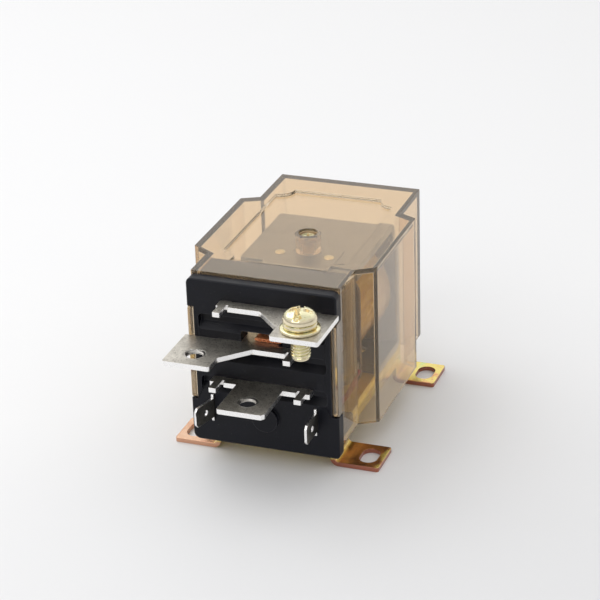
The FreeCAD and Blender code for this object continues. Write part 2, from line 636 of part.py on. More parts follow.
def coil_bobbin():
    """Moulded bobbin: a tube between two rounded flanges."""
    half_x, half_z = 19.0, 18.3
    tube = rod((0, BOBBIN_Y[0], COIL_Z), CORE_R + 1.4, BOBBIN_Y[1] - BOBBIN_Y[0], "y")
    low, high = COIL_Z - half_z, COIL_Z + half_z
    corners = [(-half_x, low, 5), (half_x, low, 5), (half_x, high, 5), (-half_x, high, 5)]
    front = slab(corners, "xz", BOBBIN_Y[0], BOBBIN_FLANGE)
    rear = slab(corners, "xz", BOBBIN_Y[1] - BOBBIN_FLANGE, BOBBIN_FLANGE)
    bobbin = join(tube, front, rear).cut(rod((0, BOBBIN_Y[0] - 1, COIL_Z), CORE_R + 0.05, 40, "y"))
    for side in (-1, 1):
        pocket = box((LUG_X * side - 0.32, LUG_X * side + 0.32),
                     (BOBBIN_Y[0] - 1, BOBBIN_Y[0] + BOBBIN_FLANGE), (LUG_Z - 1.62, LUG_Z + 1.62))
        bobbin = bobbin.cut(pocket)
    return bobbin


def coil_ring(inner, outer):
    """Hollow cylinder between the bobbin's flanges."""
    start = BOBBIN_Y[0] + BOBBIN_FLANGE + 0.02
    length = BOBBIN_Y[1] - BOBBIN_Y[0] - 2 * BOBBIN_FLANGE - 0.04
    bore = rod((0, start - 1, COIL_Z), inner, length + 2, "y")
    return rod((0, start, COIL_Z), outer, length, "y").cut(bore)


def coil_winding():
    """Enamelled copper wire, as one body of turns."""
    return coil_ring(CORE_R + 1.42, WINDING_R)


def coil_tape():
    """Polyester tape wrapped over the winding."""
    return coil_ring(WINDING_R + 0.01, WINDING_R + 0.35)


# ---------------------------------------------------------------- armature group, at rest
def armature():
    """Flat steel armature that rocks on the yoke's upper front edge."""
    front = ARMATURE_BACK - ARMATURE_SHEET
    outline = [(-17.0, 17.0, 2), (17.0, 17.0, 2), (17.0, 52.9, 0.6), (-17.0, 52.9, 0.6)]
    plate = slab(outline, "xz", front, ARMATURE_SHEET)
    for x in (-SPRING_RIVET_X, SPRING_RIVET_X):
        plate = plate.cut(rod((x, front - 1, SPRING_RIVET_Z), 0.82, 5, "y"))
    for z in CARRIER_RIVET_Z:
        plate = plate.cut(rod((ARM_X, front - 1, z), 1.25, 5, "y"))
    return swung(plate)


def rounded_block(half_width, z, corner):
    """Outline in XZ about the arm's middle, with rounded corners."""
    left, right = ARM_X - half_width, ARM_X + half_width
    return [(left, z[0], corner), (right, z[0], corner), (right, z[1], corner), (left, z[1], corner)]


def contact_carrier():
    """Insulating block on the armature that holds the moving contact arm."""
    back = ARMATURE_BACK - ARMATURE_SHEET
    pad = slab(rounded_block(9.0, (27.0, 45.0), 1.5), "xz", back - 2.8, 2.8)
    arm_back = ARM_FRONT + ARM_SHEET
    beam = slab(rounded_block(5.4, (33.2, 39.6), 0.8), "xz", arm_back, back - 1 - arm_back)
    seat = slab(rounded_block(5.4, (30.4, 41.6), 1.0), "xz", arm_back, 2.4)
    block = join(pad, beam, seat)
    for z in CARRIER_RIVET_Z:
        block = block.cut(rod((ARM_X, back - 5, z), 1.25, 8, "y"))
    for x in ARM_RIVETS_X:
        block = block.cut(rod((x, ARM_FRONT - 1, ARM_RIVET_Z), 0.95, 6, "y"))
    return swung(block)


def carrier_rivets():
    """Steel rivets that fix the carrier to the armature."""
    back = ARMATURE_BACK - ARMATURE_SHEET
    rivets = []
    for z in CARRIER_RIVET_Z:
        shank = rod((ARM_X, back - 2.8, z), 1.22, 2.8 + ARMATURE_SHEET - 0.1, "y")
        dome = [(0, 0), (2.1, 0), (2.1, 0.3), (1.3, 0.9), (0, 1.0)]
        rivets.append(join(shank, turned(dome, (ARM_X, back - 2.8, z), Vector(0, -1, 0))))
    return swung(Part.makeCompound(rivets))


def moving_contact_arm():
    """Flat copper-alloy arm with contact buttons near its lower end."""
    left, right = ARM_X - ARM_WIDTH / 2, ARM_X + ARM_WIDTH / 2
    outline = [(left, 17.2, 3.0), (right, 17.2, 3.0), (right, 45.0, 1.0), (left, 45.0, 1.0)]
    strip = slab(outline, "xz", ARM_FRONT, ARM_SHEET)
    for x in ARM_RIVETS_X:
        strip = strip.cut(rod((x, ARM_FRONT - 1, ARM_RIVET_Z), 0.95, 3, "y"))
    strip = strip.cut(rod((ARM_X, ARM_FRONT - 1, BRAID_RIVET_Z), 1.02, 3, "y"))
    return swung(strip.cut(rod((ARM_X, ARM_FRONT - 1, CONTACT_Z), 1.3, 3, "y")))


def button(face_y, z, thickness, direction):
    """Domed contact button whose flat back lies at face_y, facing along +Y or -Y."""
    dome = 0.25
    steps = 5
    profile = [(0, 0), (CONTACT_R, 0), (CONTACT_R, thickness - dome)]
    for k in range(1, steps):
        angle = k * math.pi / 2 / steps
        profile.append((CONTACT_R * math.cos(angle), thickness - dome + dome * math.sin(angle)))
    return turned(profile + [(0, thickness)], (ARM_X, face_y, z), Vector(0, direction, 0))


def moving_contact_buttons():
    """Silver-alloy contact riveted through the arm, with a domed face on each side."""
    neck = rod((ARM_X, ARM_FRONT, CONTACT_Z), 1.28, ARM_SHEET, "y")
    front = button(ARM_FRONT, CONTACT_Z, 1.1, -1)
    rear = button(ARM_FRONT + ARM_SHEET, CONTACT_Z, 1.1, 1)
    return swung(join(neck, front, rear))


def arm_rivets():
    """Brass rivets that fix the arm to the carrier."""
    rivets = []
    for x in ARM_RIVETS_X:
        shank = rod((x, ARM_FRONT, ARM_RIVET_Z), 0.93, 4.6, "y")
        dome = [(0, 0), (1.7, 0), (1.7, 0.25), (1.0, 0.7), (0, 0.8)]
        rivets.append(join(shank, turned(dome, (x, ARM_FRONT, ARM_RIVET_Z), Vector(0, -1, 0))))
    return swung(Part.makeCompound(rivets))


def braid_arm_rivet():
    """Brass rivet that holds the braid's moving end against the arm."""
    grip = 1.95
    front = (ARM_X, ARM_FRONT - grip, BRAID_RIVET_Z)
    behind = (ARM_X, ARM_FRONT + ARM_SHEET, BRAID_RIVET_Z)
    shank = rod(front, 1.0, grip + ARM_SHEET + 0.1, "y")
    head = turned([(0, 0), (1.9, 0), (1.9, 0.25), (1.1, 0.7), (0, 0.8)], front, Vector(0, -1, 0))
    tail = turned([(0, 0), (1.5, 0), (1.0, 0.4), (0, 0.5)], behind, Vector(0, 1, 0))
    return swung(join(shank, head, tail))


# ---------------------------------------------------------------- fixed contacts and braid
def fixed_contact_no():
    """Normally-open contact on the upper terminal's leg."""
    return button(-24.4, CONTACT_Z, 1.2, -1)


def fixed_contact_nc():
    """Normally-closed contact on the lower terminal's leg."""
    return button(-34.6 + PLATE, REST_CONTACT_Z, 1.35, 1)


def flexible_braid():
    """Flat copper braid in a high loop from the common terminal's tail to the arm."""
    low, t = TERMINAL_TOPS["middle"], BRAID_SHEET
    front, back, crest, end = -33.9, -28.85, 50.6, 41.4
    profile = [(BRAID_FRONT, low), (BRAID_FRONT, low + t), (front, low + t, 0.4), (front, crest, 2.4),
               (back, crest, 2.4), (back, end), (back - t, end), (back - t, crest - t, 1.2),
               (front + t, crest - t, 1.2), (front + t, low, 0.6)]
    ribbon = slab(profile, "yz", BRAID_LEFT, BRAID_WIDTH)
    ribbon = ribbon.cut(rod((ARM_X, BRAID_RIVET_Y, low - 1), 1.02, 4))
    return ribbon.cut(rod((ARM_X, back - t - 1.4, 44.4), 1.45, 4, "y"))


def braid_terminal_rivet():
    """Brass rivet that fixes the braid's still end to the common terminal."""
    top = TERMINAL_TOPS["middle"]
    at = (ARM_X, BRAID_RIVET_Y)
    shank = rod((*at, top - PLATE), 1.0, PLATE + BRAID_SHEET)
    dome = [(0, 0), (1.25, 0), (1.25, 0.2), (0.8, 0.6), (0, 0.7)]
    head = turned(dome, (*at, top + BRAID_SHEET), Vector(0, 0, 1))
    foot = turned([(0, 0), (1.25, 0), (0.9, 0.5), (0, 0.6)], (*at, top - PLATE), Vector(0, 0, -1))
    return join(shank, head, foot)


# ---------------------------------------------------------------- hinge spring
def hinge_spring():
    """Spring-steel sheet from the yoke's top over its front edge and down the armature.

    It holds the armature on its hinge edge and pushes it back to rest.
    """
    sheet, half_x = SPRING_SHEET, 11.0
    rear, bend_y, low_y, low_z = 3.4, -13.38, -13.93, 45.7
    top = YOKE_TOP + sheet
    profile = [(rear, YOKE_TOP), (bend_y, YOKE_TOP, 0.7), (low_y, low_z), (low_y - sheet, low_z),
               (bend_y - sheet, top, 1.0), (rear, top)]
    spring = slab(profile, "yz", -half_x, 2 * half_x)
    plan = [(-half_x, -16.0), (half_x, -16.0), (half_x, rear, 2.5), (-half_x, rear, 2.5)]
    spring = spring.common(slab(plan, "xy", low_z - 1, 12))
    spring = spring.cut(rod((0, COVER_SCREW_Y, YOKE_TOP - 1), 4.6, 3))
    spring = spring.cut(box((-3.2, 3.2), (COVER_SCREW_Y, rear + 1), (YOKE_TOP - 1, YOKE_TOP + 2)))
    for x in (-SPRING_RIVET_X, SPRING_RIVET_X):
        spring = spring.cut(rod((x, YOKE_RIVET_Y, YOKE_TOP - 1), 0.9, 3))
        spring = spring.cut(rod((x, -12, SPRING_RIVET_Z), 1.05, -5, "y"))
    return spring


def spring_yoke_rivets():
    """Flat-headed rivets that fix the spring to the yoke."""
    rivets = []
    for x in (-SPRING_RIVET_X, SPRING_RIVET_X):
        head = turned(FLAT_RIVET_HEAD, (x, YOKE_RIVET_Y, YOKE_TOP + SPRING_SHEET), Vector(0, 0, 1))
        shank = rod((x, YOKE_RIVET_Y, YOKE_TOP - YOKE_SHEET + 0.2), 0.88, YOKE_SHEET + 0.2)
        rivets.append(join(head, shank))
    return Part.makeCompound(rivets)


def spring_armature_rivets():
    """Flat-headed rivets that fix the spring to the armature."""
    front = ARMATURE_BACK - ARMATURE_SHEET
    grip = 0.42
    rivets = []
    for x in (-SPRING_RIVET_X, SPRING_RIVET_X):
        head = turned(FLAT_RIVET_HEAD, (x, front - grip, SPRING_RIVET_Z), Vector(0, -1, 0))
        shank = rod((x, front - grip, SPRING_RIVET_Z), 0.8, grip + ARMATURE_SHEET - 0.1, "y")
        rivets.append(join(head, shank))
    return swung(Part.makeCompound(rivets))


PIECES = {
    "mounting_bracket": mounting_bracket,
    "dust_cover": dust_cover,
    "cover_screw": cover_screw,
    "cover_screw_washer": cover_screw_washer,
    "terminal_base": terminal_base,
    "base_inserts": base_inserts,
    "base_screws": base_screws,
    "terminal_upper": terminal_upper,
    "terminal_middle": terminal_middle,
    "terminal_lower": terminal_lower,
    "terminal_screw": terminal_screw,
    "terminal_flat_washer": terminal_flat_washer,
    "terminal_spring_washer": terminal_spring_washer,
    "coil_tab_left": coil_tab_left,
    "coil_tab_right": coil_tab_right,
    "coil_leads": coil_leads,
    "coil_lugs": coil_lugs,
    "yoke": yoke,
    "yoke_screws": yoke_screws,
    "iron_core": iron_core,
    "core_screw": core_screw,
    "core_screw_washer": core_screw_washer,
    "pole_shim": pole_shim,
    "coil_bobbin": coil_bobbin,
    "coil_winding": coil_winding,
    "coil_tape": coil_tape,
    "armature": armature,
    "contact_carrier": contact_carrier,
    "carrier_rivets": carrier_rivets,
    "moving_contact_arm": moving_contact_arm,
    "moving_contact_buttons": moving_contact_buttons,
    "arm_rivets": arm_rivets,
    "braid_arm_rivet": braid_arm_rivet,
    "fixed_contact_no": fixed_contact_no,
    "fixed_contact_nc": fixed_contact_nc,
    "flexible_braid": flexible_braid,
    "braid_terminal_rivet": braid_terminal_rivet,
    "hinge_spring": hinge_spring,
    "spring_yoke_rivets": spring_yoke_rivets,
    "spring_armature_rivets": spring_armature_rivets,
}

os.makedirs("parts", exist_ok=True)
for name, make in PIECES.items():
    shape = make()
    if not shape.isValid():
        raise ValueError(name + " is not a valid shape")
    shape.exportStep("parts/" + name + ".step")
    size = shape.BoundBox
    print(f"{name:24s} solids {len(shape.Solids)}  volume {shape.Volume:9.2f}"
          f"  x {size.XMin:6.1f} {size.XMax:6.1f}  y {size.YMin:6.1f} {size.YMax:6.1f}"
          f"  z {size.ZMin:5.1f} {size.ZMax:5.1f}")
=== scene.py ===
"""Visual model of the enclosed power relay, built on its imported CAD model."""

import json
import math

import bmesh
import bpy
from mathutils import Matrix, Vector


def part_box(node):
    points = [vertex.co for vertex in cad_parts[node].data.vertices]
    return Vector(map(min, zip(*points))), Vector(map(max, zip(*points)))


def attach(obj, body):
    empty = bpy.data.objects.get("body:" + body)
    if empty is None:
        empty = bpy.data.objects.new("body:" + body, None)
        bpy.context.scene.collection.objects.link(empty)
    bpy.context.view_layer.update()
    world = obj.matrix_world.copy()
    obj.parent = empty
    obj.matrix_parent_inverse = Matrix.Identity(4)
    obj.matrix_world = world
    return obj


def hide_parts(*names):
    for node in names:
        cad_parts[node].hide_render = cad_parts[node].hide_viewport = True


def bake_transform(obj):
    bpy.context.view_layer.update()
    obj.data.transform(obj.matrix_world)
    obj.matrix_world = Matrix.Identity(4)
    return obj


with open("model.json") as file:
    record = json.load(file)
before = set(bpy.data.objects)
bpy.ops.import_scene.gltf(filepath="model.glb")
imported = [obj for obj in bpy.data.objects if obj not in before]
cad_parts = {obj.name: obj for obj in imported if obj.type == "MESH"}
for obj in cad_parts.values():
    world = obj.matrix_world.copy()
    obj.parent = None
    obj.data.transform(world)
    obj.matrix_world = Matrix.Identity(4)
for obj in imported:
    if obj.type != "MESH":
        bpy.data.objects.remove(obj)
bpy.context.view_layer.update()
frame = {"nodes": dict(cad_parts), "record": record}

MM = 0.001
NODES = frame["nodes"]
BODY_OF = {node: body for body, nodes in frame["record"]["behaviour"]["bodies"].items() for node in nodes}
SLOT_OF = {part["node"]: part["material_slot"] for part in frame["record"]["subparts"]}
RANGE_SOCKETS = ("From Min", "From Max", "To Min", "To Max")


# ---------------------------------------------------------------- materials
class Look:
    """A Principled material with helpers for procedural colour, roughness and bump."""

    def __init__(self, name):
        self.material = bpy.data.materials.new(name)
        self.material.use_nodes = True
        self.tree = self.material.node_tree
        self.shader = self.tree.nodes["Principled BSDF"]
        self.output = self.tree.nodes["Material Output"]
        self.place = self.node("ShaderNodeTexCoord").outputs["Object"]
        self.normal = None

    def node(self, kind, **settings):
        made = self.tree.nodes.new(kind)
        for key, value in settings.items():
            setattr(made, key, value)
        return made

    def link(self, source, target):
        self.tree.links.new(source, target)

    def set(self, **values):
        for key, value in values.items():
            self.shader.inputs[key.replace("_", " ")].default_value = value

    def stretched(self, scale):
        mapping = self.node("ShaderNodeMapping")
        mapping.inputs["Scale"].default_value = scale
        self.link(self.place, mapping.inputs["Vector"])
        return mapping.outputs["Vector"]

    def noise(self, per_mm, detail=4.0, rough=0.55, stretch=None):
        """Noise whose features are about 1 / per_mm millimetres across."""
        texture = self.node("ShaderNodeTexNoise")
        texture.inputs["Scale"].default_value = per_mm / MM
        texture.inputs["Detail"].default_value = detail
        texture.inputs["Roughness"].default_value = rough
        self.link(self.stretched(stretch) if stretch else self.place, texture.inputs["Vector"])
        return texture.outputs["Fac"]

    def cells(self, per_mm):
        texture = self.node("ShaderNodeTexVoronoi")
        texture.inputs["Scale"].default_value = per_mm / MM
        self.link(self.place, texture.inputs["Vector"])
        return texture.outputs["Distance"]

    def bands(self, per_mm, axis, distort):
        """Bands across an axis, about per_mm of them in a millimetre."""
        texture = self.node("ShaderNodeTexWave", bands_direction=axis)
        texture.inputs["Scale"].default_value = per_mm / MM / math.pi
        texture.inputs["Distortion"].default_value = distort
        self.link(self.place, texture.inputs["Vector"])
        return texture.outputs["Fac"]

    def range(self, source, low, high, to_low=0.0, to_high=1.0):
        mapped = self.node("ShaderNodeMapRange")
        for name, value in zip(RANGE_SOCKETS, (low, high, to_low, to_high)):
            mapped.inputs[name].default_value = value
        self.link(source, mapped.inputs["Value"])
        return mapped.outputs["Result"]

    def ramp(self, source, *stops):
        """Colours along a 0..1 source: stops are (position, (r, g, b))."""
        ramp = self.node("ShaderNodeValToRGB")
        elements = ramp.color_ramp.elements
        while len(elements) < len(stops):
            elements.new(0.5)
        for element, (position, colour) in zip(elements, stops):
            element.position = position
            element.color = (*colour, 1.0)
        self.link(source, ramp.inputs["Fac"])
        return ramp.outputs["Color"]

    def mix(self, factor, first, second):
        mixer = self.node("ShaderNodeMix", data_type="RGBA")
        self.link(factor, mixer.inputs["Factor"])
        colour_a, colour_b, colour_result = mixer.inputs[6], mixer.inputs[7], mixer.outputs[2]
        for socket, value in ((colour_a, first), (colour_b, second)):
            if isinstance(value, tuple):
                socket.default_value = (*value, 1.0)
            else:
                self.link(value, socket)
        return colour_result

    def math(self, operation, first, second=0.0):
        maths = self.node("ShaderNodeMath", operation=operation)
        for socket, value in zip(maths.inputs, (first, second)):
            if isinstance(value, (int, float)):
                socket.default_value = value
            else:
                self.link(value, socket)
        return maths.outputs["Value"]

    def colour(self, source):
        self.link(source, self.shader.inputs["Base Color"])

    def roughness(self, source):
        self.link(source, self.shader.inputs["Roughness"])

    def bump(self, height, distance_mm, strength=1.0):
        bump = self.node("ShaderNodeBump")
        bump.inputs["Strength"].default_value = strength
        bump.inputs["Distance"].default_value = distance_mm * MM
        self.link(height, bump.inputs["Height"])
        if self.normal is not None:
            self.link(self.normal, bump.inputs["Normal"])
        self.normal = bump.outputs["Normal"]
        self.link(self.normal, self.shader.inputs["Normal"])

    def facing_away(self, axis, low, high):
        """Mask that is 0 where the surface faces along an axis and 1 where it is turned away from it."""
        split = self.node("ShaderNodeSeparateXYZ")
        self.link(self.node("ShaderNodeTexCoord").outputs["Normal"], split.inputs["Vector"])
        return self.range(self.math("ABSOLUTE", split.outputs[axis]), low, high)

    def upright_faces(self):
        """Mask that is 1 where the surface stands upright and 0 where it lies flat."""
        return self.facing_away("Z", 0.75, 0.45)

    def narrow_faces(self):
        """Mask that is 1 except where the surface faces sideways, along X."""
        return self.facing_away("X", 0.85, 0.65)

    def position(self):
        """X, Y and Z of the point in metres."""
        split = self.node("ShaderNodeSeparateXYZ")
        self.link(self.place, split.inputs["Vector"])
        return split.outputs

    def near_axis(self, x, y, radius):
        """Mask that is 1 within radius of the upright axis at x, y."""
        across, along_y, _ = self.position()
        aside = self.math("SUBTRACT", across, x)
        ahead = self.math("SUBTRACT", along_y, y)
        square = self.math("ADD", self.math("MULTIPLY", aside, aside), self.math("MULTIPLY", ahead, ahead))
        return self.range(self.math("SQRT", square), radius + 0.04 * MM, radius - 0.04 * MM)

    def wear_and_highlight_edges(self, radius_mm):
        """Mask that is 1 on sharp edges and 0 on flat faces."""
        rounded = self.node("ShaderNodeBevel", samples=4)
        rounded.inputs["Radius"].default_value = radius_mm * MM
        straight = self.node("ShaderNodeNewGeometry").outputs["Normal"]
        dot = self.node("ShaderNodeVectorMath", operation="DOT_PRODUCT")
        self.link(rounded.outputs["Normal"], dot.inputs[0])
        self.link(straight, dot.inputs[1])
        return self.range(dot.outputs["Value"], 0.98, 0.75)


def black_phenolic():
    """Moulded black resin: blue-black with cloudy gloss, a few grey specks, and paler edges that are partly
    wear and partly a painted highlight where the rims catch light.
    """
    look = Look("black_phenolic")
    cloud = look.noise(0.12, 5)
    grain = look.noise(2.5, 3)
    base = look.ramp(cloud, (0.3, (0.0024, 0.0028, 0.0058)), (0.7, (0.0042, 0.0048, 0.0095)))
    specks = look.range(look.noise(3.2, 2, 0.4), 0.70, 0.78)
    base = look.mix(specks, base, (0.035, 0.035, 0.04))
    # Paler rims: partly wear, partly a painted highlight of the rounded edges catching light.
    base = look.mix(look.math("MULTIPLY", look.wear_and_highlight_edges(0.5), 0.5), base, (0.10, 0.10, 0.115))
    look.colour(base)
    gloss = look.math("ADD", cloud, look.math("MULTIPLY", grain, 0.4))
    look.roughness(look.range(gloss, 0.45, 0.95, 0.30, 0.48))
    look.bump(look.noise(5.0, 4), 0.012)
    look.bump(look.noise(0.5, 3, stretch=(1, 1, 3)), 0.03)
    look.set(Specular_IOR_Level=0.24)
    return look.material


def amber_plastic():
    """Clear tinted plastic, which looks darker along its thick edges."""
    look = Look("amber_plastic")
    look.set(Base_Color=(0.925, 0.77, 0.57, 1.0), Transmission_Weight=0.94, IOR=1.49)
    look.roughness(look.range(look.noise(0.25, 5), 0.4, 0.8, 0.012, 0.06))
    look.bump(look.noise(0.06, 2), 0.02, 0.5)
    absorb = look.node("ShaderNodeVolumeAbsorption")
    absorb.inputs["Color"].default_value = (0.62, 0.55, 0.45, 1.0)
    absorb.inputs["Density"].default_value = 24.0
    look.link(absorb.outputs["Volume"], look.output.inputs["Volume"])
    return look.material


# Places on the bracket, in metres: where its feet begin, its front feet, their rim, plate and cut edge.
FEET_INNER_X, FEET_RIM_X = (19.6 * MM, 21.0 * MM), (33.6 * MM, 34.6 * MM)
FRONT_FEET_Y = (-17.0 * MM, -22.0 * MM)
RAISED_PLATE_Z, FOOT_EDGE_Z = (7.5 * MM, 9.5 * MM), (2.6 * MM, 1.9 * MM)
# The raised plate's yellow is a painted highlight standing in for the bright streak along the rails.
PAINTED_STREAK_YELLOW, RUBBED_YELLOW = (0.95, 0.74, 0.15), (0.92, 0.84, 0.62)


def yellow_zinc(name, gold, copper, green, cut_edge, rough=(0.13, 0.27), feet=None):
    """Iridescent plating: gold that drifts to green and copper, with cut edges of their own tint.

    feet gives the tints of a bracket's front feet: two for the right foot, then two for the left.
    """
    look = Look(name)
    film = look.noise(0.13 if feet else 0.3, 3, 0.6)
    fine = look.noise(1.2, 4, 0.6)
    tint = look.ramp(look.math("ADD", film, look.math("MULTIPLY", look.math("SUBTRACT", fine, 0.5), 0.25)),
                     (0.36, copper), (0.45, gold), (0.58, gold), (0.68, green))
    edges = look.upright_faces()
    if feet:
        across, along_y, height = look.position()
        dark_right, warm_right, dark_left, pale_left = feet
        aside = look.math("ABSOLUTE", across)
        on_foot = look.math("MULTIPLY", look.range(aside, *FEET_INNER_X), look.range(along_y, *FRONT_FEET_Y))
        on_left = look.range(across, 0.5 * MM, -0.5 * MM)
        rim = look.range(look.math("ADD", aside, look.math("MULTIPLY", film, 4.0 * MM)), *FEET_RIM_X)
        rim = look.math("MULTIPLY", rim, look.math("SUBTRACT", 1.0, on_left))
        patch = look.math("MULTIPLY", on_foot, look.math("SUBTRACT", 0.92, rim))
        right_foot = look.ramp(film, (0.35, dark_right), (0.65, warm_right))
        left_foot = look.ramp(film, (0.35, dark_left), (0.65, pale_left))
        tint = look.mix(patch, tint, look.mix(on_left, right_foot, left_foot))
        # Raised plate: a brighter, less metallic yellow, as a painted highlight for the lit streak along the
        # rails.
        tint = look.mix(look.range(height, *RAISED_PLATE_Z, 0.0, 0.85), tint, PAINTED_STREAK_YELLOW)
        edges = look.math("MULTIPLY", edges, look.range(height, *FOOT_EDGE_Z))
        front_left = look.math("MULTIPLY", on_left, look.range(along_y, *FRONT_FEET_Y))
        cut_edge = look.mix(front_left, cut_edge, dark_left)
        look.link(look.range(height, *RAISED_PLATE_Z, 0.75, 0.4), look.shader.inputs["Metallic"])
    tint = look.mix(edges, tint, cut_edge)
    tint = look.mix(look.math("MULTIPLY", look.wear_and_highlight_edges(0.16), 0.55), tint, RUBBED_YELLOW)
    look.colour(tint)
    look.set(Metallic=0.75)
    look.roughness(look.range(fine, 0.3, 0.7, *rough))
    look.bump(look.noise(4.0, 4), 0.008)
    look.bump(look.noise(1.5, 2, stretch=(1, 0.08, 1)), 0.004)
    return look.material


# Centres of the middle and the lower terminal's holes, and the radius whose inside is darker.
TAPPED_HOLES, HOLE_RADIUS = ((-16.7 * MM, -54.3 * MM), (0.0, -55.5 * MM)), 2.99 * MM
# Sheared edges: bare metal, pushed to near white as a painted highlight of the glare on them.
PIT_BROWN, SHEARED_AND_HIGHLIGHT_NICKEL, RUBBED_NICKEL = (0.12, 0.10, 0.08), (0.97, 0.96, 0.95), (0.95, 0.94, 0.92)
THREAD_NICKEL = (0.50, 0.48, 0.45)


def tumbled_nickel(name, dark, light, tab=False):
    """Nickel-plated strip: grey tumbled faces with dark pits, and sheared edges of bare metal that are
    whitened further as a painted highlight.
    """
    look = Look(name)
    cloud = look.noise(0.3, 4)
    speck = look.noise(2.4, 3, 0.7)
    tint = look.ramp(cloud, (0.3, dark), (0.7, light))
    tint = look.mix(look.range(speck, 0.56, 0.70, 0.0, 0.8), tint, tuple(min(0.9, 1.45 * c) for c in light))
    tint = look.mix(look.range(look.noise(2.2, 3, 0.65), 0.56, 0.67, 0.0, 0.85), tint, PIT_BROWN)
    edges = look.narrow_faces() if tab else look.upright_faces()
    # Cut faces take the near-white sheared colour: bare metal plus a painted highlight.
    tint = look.mix(edges, tint, SHEARED_AND_HIGHLIGHT_NICKEL)
    tint = look.mix(look.wear_and_highlight_edges(0.14), tint, RUBBED_NICKEL)
    for x, y in () if tab else TAPPED_HOLES:
        inside = look.near_axis(x, y, HOLE_RADIUS)
        tint = look.mix(inside, tint, THREAD_NICKEL)
        edges = look.math("ADD", edges, look.math("MULTIPLY", inside, 0.6))
    look.colour(tint)
    look.set(Metallic=1.0)
    dull = look.range(speck, 0.3, 0.7, 0.36, 0.50)
    look.roughness(look.math("ADD", dull, look.math("MULTIPLY", edges, -0.14)))
    look.bump(look.noise(3.5, 5, 0.65), 0.017)
    look.bump(look.cells(1.6), 0.005, 0.6)
    return look.material


def plain_metal(name, dark, light, rough, grain=(1, 1, 1), depth=0.012):
    """Machined or drawn metal: cloudy tint, streaks along one axis and bright edges."""
    look = Look(name)
    tint = look.ramp(look.noise(0.4, 4), (0.3, dark), (0.7, light))
    bright = tuple(min(1.0, c * 1.25) for c in light)
    look.colour(look.mix(look.math("MULTIPLY", look.wear_and_highlight_edges(0.12), 0.7), tint, bright))
    look.set(Metallic=1.0)
    look.roughness(look.range(look.noise(1.5, 4), 0.3, 0.7, *rough))
    look.bump(look.noise(2.5, 4, stretch=grain), depth)
    return look.material


def moulded(name, dark, light, subsurface=0.0):
    """Moulded plastic: a cloudy tint and fine grain, slightly translucent if subsurface is given."""
    look = Look(name)
    look.colour(look.ramp(look.noise(0.2, 4), (0.3, dark), (0.7, light)))
    look.roughness(look.range(look.noise(1.0, 4), 0.3, 0.7, 0.35, 0.5))
    look.bump(look.noise(3.0, 4), 0.015)
    if subsurface:
        look.set(Subsurface_Weight=subsurface, Subsurface_Scale=1.0 * MM)
    return look.material


def wound_tape():
    """Glossy polyester film stretched over turns of wire."""
    look = Look("wound_tape")
    turns = look.bands(1.6, "Y", 0.4)
    crease = look.noise(0.35, 4, stretch=(1, 0.25, 1))
    look.colour(look.ramp(crease, (0.35, (0.66, 0.38, 0.03)), (0.65, (0.88, 0.60, 0.07))))
    look.roughness(look.range(crease, 0.3, 0.7, 0.14, 0.30))
    look.bump(turns, 0.02, 0.6)
    look.bump(crease, 0.08)
    look.set(Coat_Weight=0.4, Coat_Roughness=0.08)
    return look.material


def enamelled_wire():
    """Varnished copper wire in close turns."""
    look = Look("enamelled_wire")
    turns = look.bands(2.4, "Y", 0.15)
    look.colour(look.ramp(look.noise(0.5, 3), (0.3, (0.50, 0.17, 0.06)), (0.7, (0.70, 0.28, 0.11))))
    look.set(Metallic=0.85, Coat_Weight=0.5)
    look.roughness(look.range(turns, 0.0, 1.0, 0.35, 0.22))
    look.bump(turns, 0.08)
    return look.material


def stranded_copper():
    """Bare copper strands, brighter along some of their length."""
    look = Look("stranded_copper")
    strand = look.noise(4.0, 3, stretch=(1, 0.3, 0.3))
    look.colour(look.ramp(strand, (0.3, (0.56, 0.17, 0.07)), (0.7, (0.88, 0.40, 0.20))))
    look.set(Metallic=0.9)
    look.roughness(look.range(strand, 0.3, 0.7, 0.28, 0.42))
    look.bump(strand, 0.03)
    return look.material


def rubbery(name, dark, light):
    """Soft, slightly dull insulation."""
    look = Look(name)
    look.colour(look.ramp(look.noise(0.5, 4), (0.3, dark), (0.7, light)))
    look.roughness(look.range(look.noise(2.0, 4), 0.3, 0.7, 0.38, 0.55))
    look.bump(look.noise(4.0, 3), 0.01)
    return look.material


